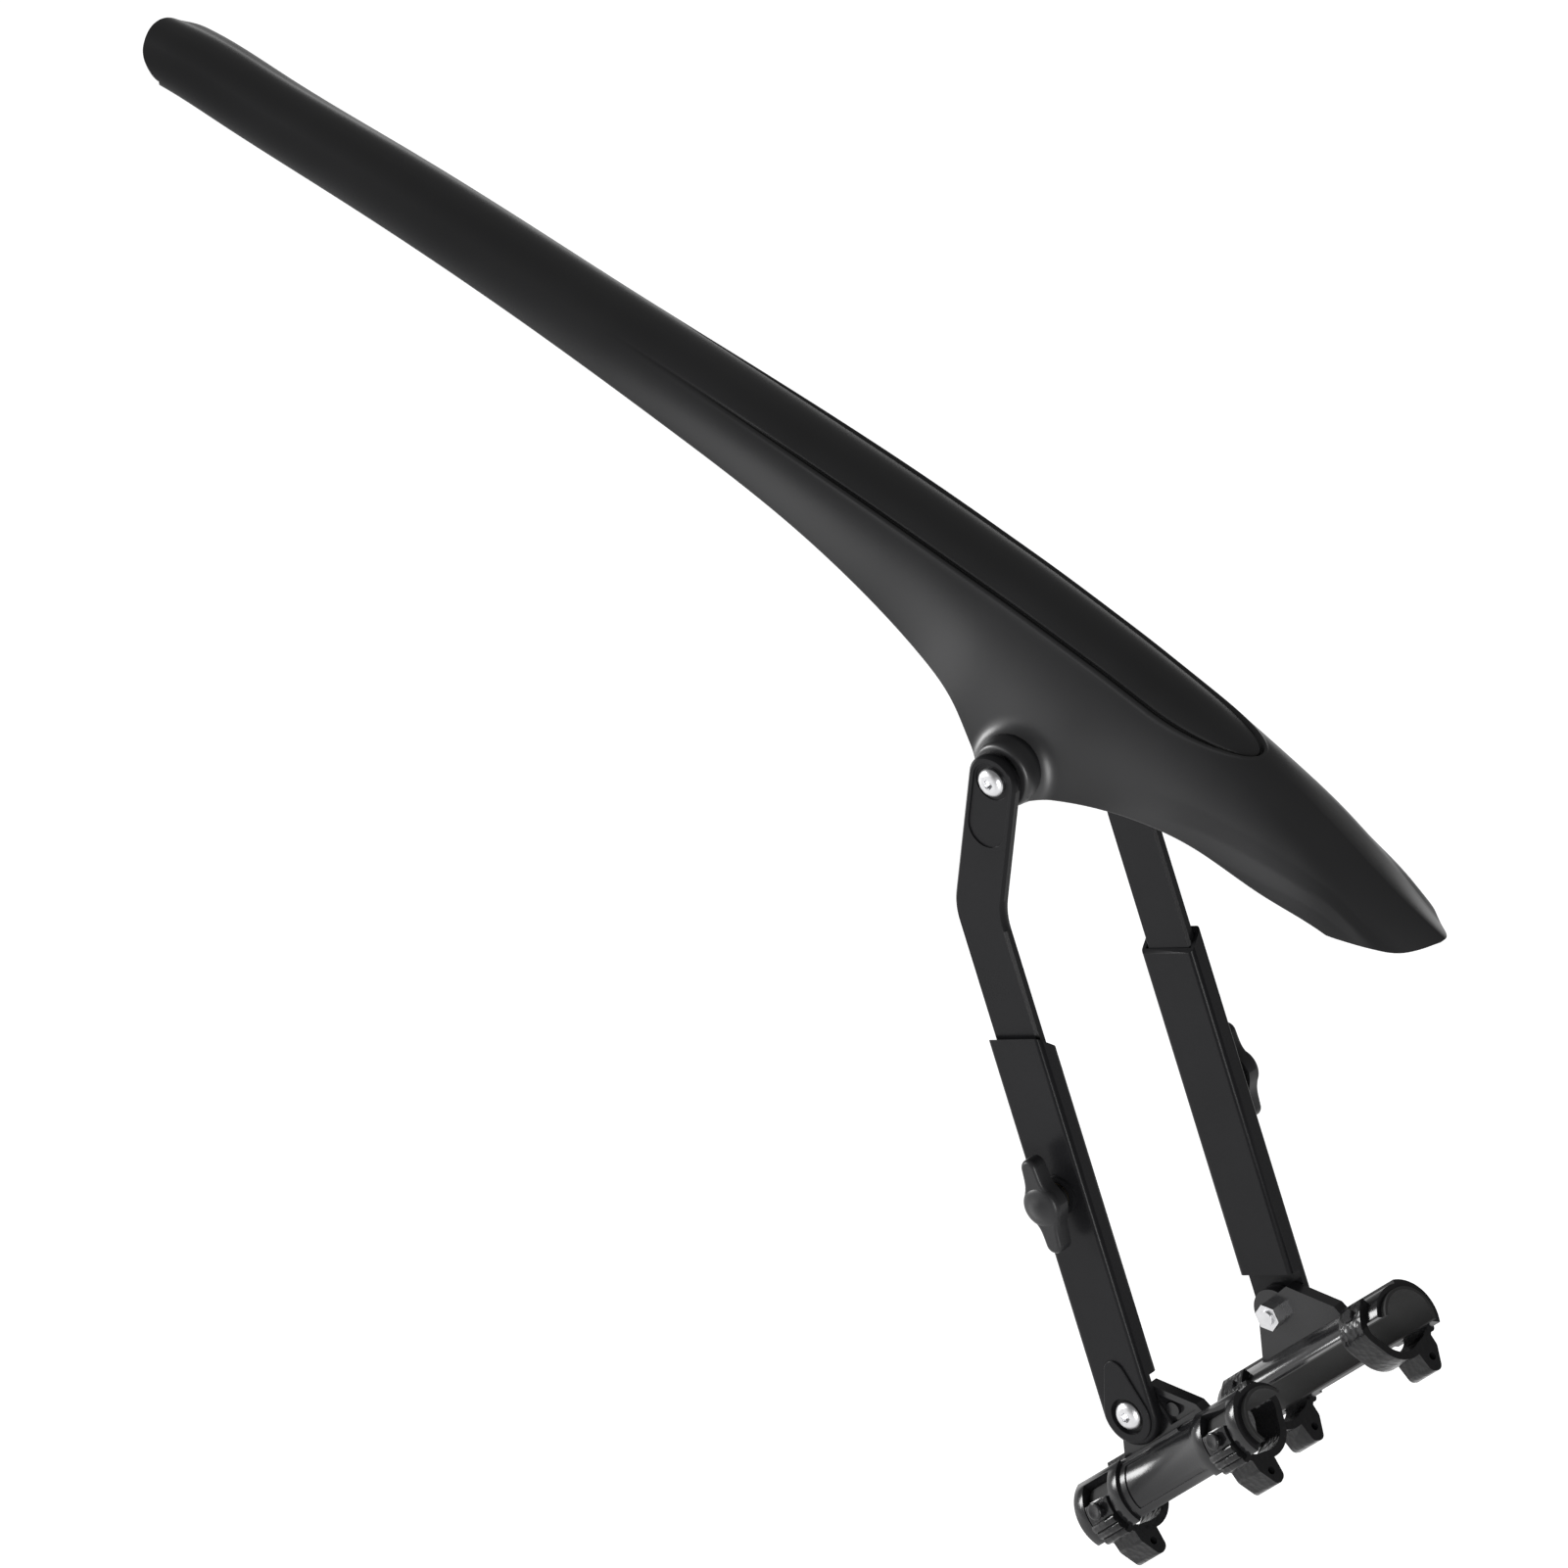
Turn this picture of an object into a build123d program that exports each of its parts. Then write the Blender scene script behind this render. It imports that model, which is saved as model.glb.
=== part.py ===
from math import cos, sin, radians
import os
from build123d import *

os.makedirs("parts", exist_ok=True)

# Clip-on rear bicycle mudguard: a long moulded blade carried by two telescopic struts,
# each strut pinned to a strap-on clamp. Millimetres, +X forward, +Y left, +Z up.
# The origin lies midway between the two tube channels, below the ears of the clamps.

# clamps, each over one round tube
stay_radius = 9.0
stay_angle = 43.0
stay_spread = 37.0
clamp_length = 84.0
clamp_shift = 4.0
pad_thickness = 1.0
pad_overhang = 2.0
shell_wall = 1.8
shell_inner_angle = 62.0
shell_outer_angle = 122.0
band_length = 22.0
band_rise = 1.3
panel_sink = 0.5
panel_margin = 3.0
panel_top_angle = 32.0
panel_low_angle = 108.0
band_top_angle = 18.0
peg_foot = 0.4
peg_overrun = 0.6
window_length = 13.0
window_top_angle = 30.0
window_low_angle = 58.0
channel_sink = 0.9
peg_radius = 2.0
peg_angle = 78.0

# rubber straps
strap_width = 11.0
strap_thickness = 2.6
strap_rib = 1.5
strap_rib_angles = (98.0, 109.0, 120.0)
strap_top_angle = 66.0
strap_end_angle = 334.0
strap_seat_gap = 0.05
strap_tube_gap = 0.1
peg_clearance = 0.1
hook_angle = 316.0
tab_start_angle = 124.0
tab_tip_angle = 174.0
tab_reach = 18.4
tab_wall = 2.1
tab_round = 2.4

# ear that carries the lower pivot
ear_thickness = 4.4
ear_radius = 8.0
ear_rear_foot = 17.0
ear_front_foot = 24.0
ear_front_offset = 11.4
ear_pocket_depth = 1.8
ear_rim = 2.2
ear_outer_face = 38.6
ear_shelf_length = 31.0
ear_shelf_width = 3.0
ear_bump_radius = 2.4
ear_slope = 45.0
ear_shoulder = 4.5
ear_pocket_edge = 1.6
ear_bump_in = 5.6
ear_bump_up = 3.9
foot_gap = 0.4

# struts
strut_lean = 20.6
strut_middle = 39.0
sleeve_width = 21.4
sleeve_thickness = 7.6
sleeve_length = 129.0
sleeve_mouth_drop = 6.0
sleeve_corner = 1.8
sleeve_floor = 20.0
sleeve_shoulder = 12.5
slide_clearance = 0.3
tongue_thickness = 3.4
arm_width = 18.0
arm_thickness = 4.0
arm_corner = 0.9
arm_foot = 42.0
arm_bend_height = 172.0
arm_bend_radius = 22.0
arm_top_length = 48.6
arm_top_lean = 6.25
arm_recess_radius = 6.9
arm_recess_reach = 17.0
arm_recess_depth = 0.5
seat_depth = 0.9
seat_radius = 6.2
foot_pad_radius = 9.0
foot_pad_top = 4.0
foot_pad_reach = 15.0
foot_pad_rise = 0.7

# pivots
screw_radius = 2.5
running_clearance = 0.05
head_radius = 4.75
head_height = 2.4
socket_size = 3.0
socket_depth = 1.5
nut_width = 8.0
nut_thickness = 4.0
washer_radius = 6.5
face_gap = 0.3
head_gap = 0.1
screw_hold = 6.0
nut_overrun = 0.8

# wing screw
wing_height = 76.0
wing_span = 32.0
wing_width = 8.0
wing_tip_width = 6.4
wing_rise = 5.4
wing_standoff = 3.2
wing_lean = 0.4
wing_round = 1.5
neck_radius = 4.6
hub_radius = 7.0
hub_height = 10.6
hub_dome = 3.6
hub_shoulder = 1.6
stud_radius = 3.0
stud_hold = 6.0
knob_gap = 0.5
wing_boss_radius = 6.4
wing_boss_height = 1.3
insert_radius = 4.4
insert_length = 7.0

# blade
blade_tilt = 17.0
tail_reach = 380.0
nose_reach = 147.0
ridge_rise = 44.0
flank_reach = 29.0
blade_wall = 1.8
lip_wall = 0.8
lip_start = 80.0
tail_round = 17.0
tail_half_width = 17.2
nose_round = 38.0
nose_half_width = 22.0
nose_cheek = 0.78
nose_cheek_width = 0.51
boss_radius = 10.9
boss_end = 36.0
boss_rim = 1.2
boss_inside = 0.3
boss_foot = 24.0
boss_foot_radius = 12.6
nose_crease = 0.5
nose_crease_start = 33.0
nose_crease_full = 100.0
panel_depth = 1.0
panel_start = 150.0
panel_fade = 105.0
panel_end = 66.0
panel_round = 38.0
panel_half_width = 12.9
panel_waist = 1.04
panel_tail = 0.95
end_trim = 1.0

# derived levels
shell_inner = stay_radius + pad_thickness
shell_outer = shell_inner + shell_wall
band_outer = shell_outer + band_rise
sleeve_end_radius = sleeve_width / 2
pivot_rise = shell_outer + sleeve_end_radius + foot_gap
sleeve_in = strut_middle - sleeve_thickness / 2
sleeve_out = strut_middle + sleeve_thickness / 2
tongue_in = sleeve_out - tongue_thickness
arm_in = strut_middle - arm_thickness / 2
arm_out = strut_middle + arm_thickness / 2
ear_inner_face = ear_outer_face - ear_thickness
half_clamp = clamp_length / 2

# main directions in the side view
stay_dir = Vector(cos(radians(stay_angle)), 0, sin(radians(stay_angle)))
stay_up = Vector(-sin(radians(stay_angle)), 0, cos(radians(stay_angle)))
strut_dir = Vector(-sin(radians(strut_lean)), 0, cos(radians(strut_lean)))
strut_side = Vector(cos(radians(strut_lean)), 0, sin(radians(strut_lean)))
top_dir = Vector(sin(radians(arm_top_lean)), 0, cos(radians(arm_top_lean)))
blade_dir = Vector(cos(radians(blade_tilt)), 0, -sin(radians(blade_tilt)))
blade_up = Vector(sin(radians(blade_tilt)), 0, cos(radians(blade_tilt)))
lower_pivot = stay_up * pivot_rise
arm_bend = lower_pivot + strut_dir * arm_bend_height
top_pivot = arm_bend + top_dir * arm_top_length
outward = Vector(0, -1, 0)


def at_depth(point, depth):
    return point + outward * depth


def strut_plane(depth, start=0.0):
    return Plane(origin=at_depth(lower_pivot + strut_dir * start, depth), x_dir=strut_side, z_dir=outward)


def stay_point(along):
    return at_depth(stay_dir * (clamp_shift + along), stay_spread)


def stay_plane(along):
    # across the tube channel, measured from the middle of the clamp
    return Plane(origin=stay_point(along), x_dir=(0, 1, 0), z_dir=stay_dir)


def ear_plane(depth):
    return Plane(origin=at_depth(lower_pivot, depth), x_dir=stay_dir, z_dir=outward)


def pivot_plane(point, depth):
    return Plane(origin=at_depth(point, depth), x_dir=(1, 0, 0), z_dir=outward)


def blade_plane(along):
    return Plane(origin=top_pivot + blade_dir * along, x_dir=(0, 1, 0), z_dir=blade_dir)


def polar(radius, angle):
    # angle runs from straight up, over the outer side, to the underside
    return (-radius * sin(radians(angle)), radius * cos(radians(angle)))


def ring_piece(inner, outer, start, stop):
    # closed outline of a ring segment seen along the tube channel
    middle = (start + stop) / 2
    with BuildLine(Plane.XY) as outline:
        ThreePointArc(polar(outer, start), polar(outer, middle), polar(outer, stop))
        Line(polar(outer, stop), polar(inner, stop))
        ThreePointArc(polar(inner, stop), polar(inner, middle), polar(inner, start))
        Line(polar(inner, start), polar(outer, start))
    make_face(outline.edges())


def save(piece, name):
    piece.part.label = name
    export_step(piece.part, f"parts/{name}.step")


def blend(low, high, share):
    return low + (high - low) * share


def smooth(share):
    share = min(max(share, 0.0), 1.0)
    return share * share * (3 - 2 * share)


# Blade shape, one row per cross section, all as shares of the blade's main sizes:
# place along the blade (tail negative, nose positive), ridge height, shoulder half width,
# shoulder height, edge half width, edge height, and how full the flank is.
blade_rows = [
    (-1.000, 0.490, 0.290, 0.428, 0.600, 0.300, 0.00),
    (-0.953, 0.561, 0.300, 0.509, 0.600, 0.375, 0.00),
    (-0.890, 0.605, 0.310, 0.548, 0.600, 0.410, 0.00),
    (-0.763, 0.711, 0.335, 0.650, 0.620, 0.488, 0.00),
    (-0.540, 0.843, 0.385, 0.768, 0.668, 0.568, 0.00),
    (-0.400, 0.925, 0.435, 0.830, 0.710, 0.566, 0.00),
    (-0.282, 0.987, 0.465, 0.873, 0.760, 0.534, 0.15),
    (-0.190, 1.019, 0.475, 0.893, 0.825, 0.440, 0.30),
    (-0.113, 1.027, 0.470, 0.899, 0.890, 0.285, 0.45),
    (-0.068, 1.027, 0.465, 0.899, 0.985, 0.138, 0.52),
    (-0.038, 1.020, 0.460, 0.894, 1.050, -0.060, 0.56),
    (0.000, 1.006, 0.452, 0.886, 1.085, -0.183, 0.58),
    (0.065, 0.997, 0.446, 0.879, 1.055, -0.105, 0.54),
    (0.145, 0.979, 0.440, 0.863, 0.970, 0.012, 0.46),
    (0.265, 0.948, 0.428, 0.836, 0.880, 0.150, 0.35),
    (0.440, 0.873, 0.410, 0.771, 0.810, 0.250, 0.20),
    (0.620, 0.749, 0.390, 0.657, 0.760, 0.230, 0.10),
    (0.810, 0.565, 0.365, 0.459, 0.720, 0.240, 0.00),
    (0.925, 0.472, 0.335, 0.335, 0.680, 0.140, 0.00),
    (1.000, 0.428, 0.320, 0.270, 0.660, 0.070, 0.00),
]


def row_place(row):
    return row[0] * (tail_reach if row[0] < 0 else nose_reach)


def half_section(row):
    # points of the outer skin from the ridge down to the edge on one side
    ridge, shoulder_y, shoulder_z, edge_y, edge_z, full = row[1:]
    ridge = ridge * ridge_rise
    shoulder = Vector(shoulder_y * flank_reach, shoulder_z * ridge_rise)
    edge = Vector(edge_y * flank_reach, edge_z * ridge_rise)
    drop = ridge - shoulder.Y
    chord = edge - shoulder
    steep = Vector(1, -2 * drop / shoulder.X).normalized()
    start = (steep * (1 - full) + Vector(0.62, -0.78) * full).normalized()
    plain = Vector(0.5, -0.86)
    stop = (plain * (1 - full) + Vector(0.1, -1) * full).normalized()
    reach = chord.length * 0.38
    pull_one = shoulder + start * reach
    pull_two = edge - stop * reach
    points = [Vector(0, ridge), Vector(shoulder.X * 0.55, ridge - drop * 0.3025), shoulder]
    # a soft crease stands out from the nose flanks and fades away behind the pivots
    crease_span = nose_crease_full - nose_crease_start
    crease = nose_crease * smooth((row_place(row) - nose_crease_start) / crease_span)
    push = Vector(-chord.Y, chord.X).normalized() * crease
    for share, lift in ((0.30, 0.45), (0.54, 1.0), (0.78, 0.45)):
        rest = 1 - share
        point = shoulder * rest**3 + pull_one * (3 * rest * rest * share)
        point = point + pull_two * (3 * rest * share * share) + edge * share**3
        points.append(point + push * lift)
    points.append(edge)
    return points


def lowered(points, depth):
    # the same skin moved inward by one wall thickness
    moved = []
    for index, point in enumerate(points):
        before = points[max(index - 1, 0)]
        after = points[min(index + 1, len(points) - 1)]
        if index == 0:
            before = Vector(-after.X, after.Y)
        along = (after - before).normalized()
        shift = Vector(along.Y, -along.X) * depth
        if index == len(points) - 1:
            # the rim is cut level
            shift = Vector(depth / along.Y, 0)
        moved.append(point + shift)
    return moved


def wall_at(row):
    # the wall thins out to a fine lip at the nose
    return blend(blade_wall, lip_wall, smooth((row_place(row) - lip_start) / (nose_reach - lip_start)))


def both_sides(points):
    left = [(-point.X, point.Y) for point in reversed(points)]
    return left + [(point.X, point.Y) for point in points[1:]]


def panel_sinkage(row):
    # the sunk panel fades out toward the tail
    return panel_depth * (0.12 + 0.88 * smooth((row_place(row) + panel_start) / panel_fade))


# room above the sunk upper panel of the blade
with BuildPart() as panel_room:
    lid = ridge_rise + 12.0
    for row in blade_rows:
        curve = both_sides(lowered(half_section(row), panel_sinkage(row)))
        with BuildSketch(blade_plane(row_place(row))):
            with BuildLine():
                Spline(*curve)
                Polyline(curve[-1], (curve[-1][0], lid), (curve[0][0], lid), curve[0])
            make_face()
    loft()
    plan = Plane(origin=top_pivot - blade_up * 10, x_dir=blade_dir, z_dir=blade_up)
    with BuildSketch(plan):
        with BuildLine():
            front = panel_end - panel_round
            EllipticalCenterArc((front, 0), panel_round, panel_half_width, start_angle=-90, arc_size=180)
            Spline(
                (front, panel_half_width),
                (-panel_start * 0.5, panel_half_width * panel_waist),
                (-panel_start, panel_half_width * panel_tail),
                tangents=((-1, 0), (-1, -0.02)),
            )
            Line((-panel_start, panel_half_width * panel_tail), (-panel_start, -panel_half_width * panel_tail))
            Spline(
                (-panel_start, -panel_half_width * panel_tail),
                (-panel_start * 0.5, -panel_half_width * panel_waist),
                (front, -panel_half_width),
                tangents=((1, -0.02), (1, 0)),
            )
        make_face()
    extrude(amount=90, mode=Mode.INTERSECT)

# hollow under the blade, up to the inner ends of the bosses
with BuildPart() as trough_room:
    for row in blade_rows:
        curve = both_sides(lowered(half_section(row), wall_at(row) + boss_inside))
        floor = -ridge_rise
        with BuildSketch(blade_plane(row_place(row))):
            with BuildLine():
                Spline(*curve)
                Polyline(curve[-1], (curve[-1][0], floor), (curve[0][0], floor), curve[0])
            make_face()
    loft()

# pivot bosses, flared where they grow out of the flanks
with BuildPart() as bosses:
    for side in (-1, 1):
        with BuildSketch(Plane(origin=top_pivot, x_dir=(0, side, 0), z_dir=(side, 0, 0))):
            with BuildLine():
                Line((boss_foot, 0), (boss_end, 0))
                Line((boss_end, 0), (boss_end, boss_radius - boss_rim))
                RadiusArc(
                    (boss_end, boss_radius - boss_rim),
                    (boss_end - boss_rim, boss_radius),
                    boss_rim,
                )
                Spline(
                    (boss_end - boss_rim, boss_radius),
                    (boss_foot, boss_foot_radius),
                    tangents=((-1, 0.06), (-0.9, 0.35)),
                )
                Line((boss_foot, boss_foot_radius), (boss_foot, 0))
            make_face()
        revolve(axis=Axis(tuple(top_pivot), (0, 1, 0)))
    add(trough_room.part, mode=Mode.SUBTRACT)

# the blade, one moulding with its two pivot bosses
with BuildPart() as blade:
    for row in blade_rows:
        skin = half_section(row)
        outer = both_sides(skin)
        inner = both_sides(lowered(skin, wall_at(row)))
        with BuildSketch(blade_plane(row_place(row))):
            with BuildLine():
                Spline(*outer)
                Line(outer[-1], inner[-1])
                Spline(*reversed(inner))
                Line(inner[0], outer[0])
            make_face()
    loft()
    # plan outline: rounded tail, pointed nose
    tail_middle = tail_round - tail_reach + end_trim
    nose_middle = nose_reach - nose_round - end_trim
    plan = Plane(origin=top_pivot - blade_up * 40, x_dir=blade_dir, z_dir=blade_up)
    with BuildSketch(plan):
        with BuildLine():
            EllipticalCenterArc((tail_middle, 0), tail_round, tail_half_width, start_angle=90, arc_size=180)
            Polyline(
                (tail_middle, -tail_half_width),
                (tail_middle, -boss_end * 1.2),
                (nose_middle, -boss_end * 1.2),
                (nose_middle, -nose_half_width),
            )
            cheek_place = nose_middle + nose_round * nose_cheek
            cheek_width = nose_half_width * nose_cheek_width
            Spline(
                (nose_middle, -nose_half_width),
                (cheek_place, -cheek_width),
                (nose_middle + nose_round, 0),
                tangents=((1, 0.1), (0.4, 0.92)),
            )
            Spline(
                (nose_middle + nose_round, 0),
                (cheek_place, cheek_width),
                (nose_middle, nose_half_width),
                tangents=((-0.4, 0.92), (-1, 0.1)),
            )
            Polyline(
                (nose_middle, nose_half_width),
                (nose_middle, boss_end * 1.2),
                (tail_middle, boss_end * 1.2),
                (tail_middle, tail_half_width),
            )
        make_face()
    extrude(amount=160, mode=Mode.INTERSECT)
    add(panel_room.part, mode=Mode.SUBTRACT)
    add(bosses.part)
    # sockets for the threaded inserts
    for side in (-1, 1):
        with BuildSketch(Plane(origin=top_pivot + Vector(0, side * boss_end, 0), z_dir=(0, side, 0))):
            Circle(insert_radius)
        extrude(amount=-insert_length, mode=Mode.SUBTRACT)
save(blade, "blade")


def own_side(side):
    # pieces are drawn for the right side, the left ones are their mirror image
    if side == "left":
        mirror(about=Plane.XZ, mode=Mode.REPLACE)


sides = ("right", "left")

# sleeves: flat tubes with a half-lap tongue round the lower pivot
for side in sides:
    with BuildPart() as sleeve:
        blank_length = sleeve_length + 3 * sleeve_corner
        with BuildSketch(strut_plane(sleeve_in)):
            with BuildLine():
                Polyline(
                    (sleeve_end_radius, 0),
                    (sleeve_end_radius, blank_length),
                    (-sleeve_end_radius, blank_length),
                    (-sleeve_end_radius, 0),
                )
                ThreePointArc((-sleeve_end_radius, 0), (0, -sleeve_end_radius), (sleeve_end_radius, 0))
            make_face()
        extrude(amount=sleeve_thickness)
        rims = sleeve.faces().filter_by(Axis.Y).edges()
        fillet(rims, sleeve_corner)
        # raised teardrop pad round the pivot screw
        with BuildSketch(strut_plane(sleeve_out)):
            Circle(foot_pad_radius)
            with Locations((0, foot_pad_reach)):
                Circle(foot_pad_top)
            make_hull()
        extrude(amount=foot_pad_rise)
        fillet(sleeve.faces().sort_by(Axis.Y)[0].edges(), foot_pad_rise * 0.6)
        # boss that the wing screw runs in
        with BuildSketch(strut_plane(sleeve_out, wing_height)):
            Circle(wing_boss_radius)
        extrude(amount=wing_boss_height)
        # room for the sliding arm
        cavity_width = arm_width + 2 * slide_clearance
        cavity_depth = arm_thickness + 2 * slide_clearance
        with BuildSketch(strut_plane(arm_in - slide_clearance)):
            with Locations((0, (sleeve_floor + sleeve_length) / 2 + 5)):
                Rectangle(cavity_width, blank_length - sleeve_floor + 10)
        extrude(amount=cavity_depth, mode=Mode.SUBTRACT)
        # sloping mouth, lower on the inner side
        mouth = Plane(
            origin=at_depth(lower_pivot + strut_dir * sleeve_length, sleeve_out),
            x_dir=strut_side,
            z_dir=strut_dir * sleeve_thickness + outward * -sleeve_mouth_drop,
        )
        split(bisect_by=mouth, keep=Keep.BOTTOM)
        # inner half cut away at the foot, so that the tongue laps the ear
        with BuildSketch(strut_plane(sleeve_in - 1)):
            with Locations((0, sleeve_shoulder - 20)):
                Rectangle(sleeve_width + 2, 40)
        extrude(amount=tongue_in - sleeve_in + 1, mode=Mode.SUBTRACT)
        # pivot hole with a sunk seat for the screw head
        with BuildSketch(strut_plane(sleeve_in - 1)):
            Circle(screw_radius + running_clearance)
        extrude(amount=sleeve_thickness + 2, mode=Mode.SUBTRACT)
        with BuildSketch(strut_plane(sleeve_out - seat_depth)):
            Circle(seat_radius)
        extrude(amount=seat_depth + foot_pad_rise + 1, mode=Mode.SUBTRACT)
        # seat of the threaded insert for the wing screw
        with BuildSketch(strut_plane(strut_middle, wing_height)):
            Circle(insert_radius)
        extrude(amount=sleeve_thickness, mode=Mode.SUBTRACT)
        own_side(side)
    save(sleeve, f"sleeve_{side}")

# arms: flat bars that slide in the sleeves, bent below the top pivot
for side in sides:
    with BuildPart() as arm:
        half = arm_width / 2
        bend = radians(strut_lean + arm_top_lean)
        miter = half * sin(bend / 2) / cos(bend / 2)
        top_x = arm_top_length * sin(bend)
        top_y = arm_bend_height + arm_top_length * cos(bend)
        step_x = half * cos(bend)
        step_y = half * sin(bend)
        with BuildSketch(strut_plane(arm_in)):
            with BuildLine():
                Polyline(
                    (half, arm_foot),
                    (half, arm_bend_height - miter),
                    (top_x + step_x, top_y - step_y),
                )
                ThreePointArc(
                    (top_x + step_x, top_y - step_y),
                    (top_x + half * sin(bend), top_y + half * cos(bend)),
                    (top_x - step_x, top_y + step_y),
                )
                Polyline(
                    (top_x - step_x, top_y + step_y),
                    (-half, arm_bend_height + miter),
                    (-half, arm_foot),
                    (half, arm_foot),
                )
            make_face()
        extrude(amount=arm_thickness)
        bend_at = tuple(at_depth(arm_bend, strut_middle))
        bend_edges = arm.edges().filter_by(Axis.Y).sort_by_distance(bend_at)[:2]
        fillet(bend_edges, arm_bend_radius)
        rims = arm.faces().filter_by(Axis.Y).edges()
        chamfer(rims, arm_corner)
        # shallow recess that runs down from the screw's seat
        recess_middle = top_pivot - top_dir * (arm_recess_reach / 2)
        with BuildSketch(Plane(origin=at_depth(recess_middle, arm_out), x_dir=top_dir, z_dir=outward)):
            SlotCenterToCenter(arm_recess_reach, 2 * arm_recess_radius)
        extrude(amount=-arm_recess_depth, mode=Mode.SUBTRACT)
        # round hole and sunk seat for the pivot screw
        with BuildSketch(pivot_plane(top_pivot, arm_in - 1)):
            Circle(screw_radius + running_clearance)
        extrude(amount=arm_thickness + 2, mode=Mode.SUBTRACT)
        with BuildSketch(pivot_plane(top_pivot, arm_out)):
            Circle(seat_radius)
        extrude(amount=-seat_depth, mode=Mode.SUBTRACT)
        own_side(side)
    save(arm, f"arm_{side}")

# clamps: half shells, each with the ear of the lower pivot
for side in sides:
    with BuildPart() as clamp:
        with BuildSketch(stay_plane(-half_clamp)):
            ring_piece(shell_inner, shell_outer, -shell_inner_angle, shell_outer_angle)
        extrude(amount=clamp_length)
        # thicker band at each end
        for start in (-half_clamp, half_clamp - band_length):
            with BuildSketch(stay_plane(start)):
                ring_piece(shell_inner, band_outer, band_top_angle, shell_outer_angle)
            extrude(amount=band_length)
        # ear plate with a sloping front edge
        slope_cos = cos(radians(ear_slope))
        slope_top = ear_front_offset / slope_cos
        foot_y = -pivot_rise + shell_inner + shell_wall / 2
        front_y = slope_top - ear_front_foot
        with BuildSketch(ear_plane(ear_inner_face)):
            with BuildLine():
                Polyline(
                    (-ear_rear_foot, foot_y),
                    (-ear_radius, 0),
                )
                ThreePointArc((-ear_radius, 0), (0, ear_radius), (ear_radius * 0.8, ear_radius * 0.6))
                Polyline(
                    (ear_radius * 0.8, ear_radius * 0.6),
                    (ear_radius * 0.8 + ear_shoulder, slope_top - ear_radius * 0.8 - ear_shoulder),
                    (ear_front_foot, front_y),
                    (ear_front_foot + 1, foot_y),
                    (-ear_rear_foot, foot_y),
                )
            make_face()
        extrude(amount=ear_thickness)
        # shallow pocket behind the sloping edge
        pocket_low = -pivot_rise + shell_outer + ear_pocket_edge
        pocket_rear = ear_radius + ear_pocket_edge
        pocket_top = slope_top - ear_rim / slope_cos
        with BuildSketch(ear_plane(ear_outer_face)):
            with BuildLine():
                Polyline(
                    (pocket_rear, pocket_low),
                    (pocket_rear, pocket_top - pocket_rear),
                    (pocket_top - pocket_low, pocket_low),
                    (pocket_rear, pocket_low),
                )
            make_face()
        extrude(amount=-ear_pocket_depth, mode=Mode.SUBTRACT)
        with BuildSketch(ear_plane(ear_outer_face - ear_pocket_depth)):
            with Locations((ear_radius + ear_bump_in, pocket_low + ear_bump_up)):
                Circle(ear_bump_radius)
        extrude(amount=ear_pocket_depth * 0.8)
        # shelf along the foot of the ear, level with the top of the shell
        shelf_depth = shell_wall * 0.75
        with BuildSketch(ear_plane(ear_outer_face)):
            with Locations((ear_shelf_length / 2 - ear_rear_foot, shell_outer - pivot_rise - shelf_depth / 2)):
                Rectangle(ear_shelf_length, shelf_depth)
        extrude(amount=ear_shelf_width)
        with BuildSketch(ear_plane(ear_inner_face - 1)):
            Circle(screw_radius + running_clearance)
        extrude(amount=ear_thickness + 2, mode=Mode.SUBTRACT)
        # window and strap channel in each end band
        for start in (-half_clamp, half_clamp - band_length):
            middle = start + band_length / 2
            with BuildSketch(stay_plane(middle - window_length / 2)):
                ring_piece(shell_inner - 1, band_outer + 1, window_top_angle, window_low_angle)
            extrude(amount=window_length, mode=Mode.SUBTRACT)
            with BuildSketch(stay_plane(middle - window_length / 2)):
                ring_piece(shell_outer - channel_sink, band_outer + 1, window_low_angle, shell_outer_angle + 5)
            extrude(amount=window_length, mode=Mode.SUBTRACT)
            # pegs that the strap hooks on, outside and inside
            for angle in (peg_angle, hook_angle):
                peg_dir = outward * sin(radians(angle)) + stay_up * cos(radians(angle))
                base = stay_point(middle) + peg_dir * (shell_inner + peg_foot)
                with BuildSketch(Plane(origin=base, x_dir=stay_dir, z_dir=peg_dir)):
                    Circle(peg_radius)
                extrude(amount=shell_wall + strap_thickness + peg_overrun)
        # sunk panel between the bands
        panel_half = half_clamp - band_length - panel_margin
        with BuildSketch(stay_plane(-panel_half)):
            ring_piece(shell_outer - panel_sink, shell_outer + 1, panel_top_angle, panel_low_angle)
        extrude(amount=2 * panel_half, mode=Mode.SUBTRACT)
        own_side(side)
    save(clamp, f"clamp_{side}")

# rubber pads that line the clamps
for side in sides:
    with BuildPart() as pad:
        with BuildSketch(stay_plane(-half_clamp - pad_overhang)):
            ring_piece(stay_radius, shell_inner, -shell_inner_angle, shell_outer_angle)
        extrude(amount=clamp_length + 2 * pad_overhang)
        own_side(side)
    save(pad, f"pad_{side}")


def strap_radius(angle):
    # middle line of the strap: in the outer channel, close round the tube, over the shell inside
    half = strap_thickness / 2
    outside = shell_outer - channel_sink + strap_seat_gap + half
    under = stay_radius + strap_tube_gap + half
    inside = shell_outer + strap_seat_gap + half
    if angle < 200:
        return blend(outside, under, smooth((angle - shell_outer_angle - 4) / 34))
    return blend(under, inside, smooth((angle - 250) / (360 - shell_inner_angle - 254)))


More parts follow.
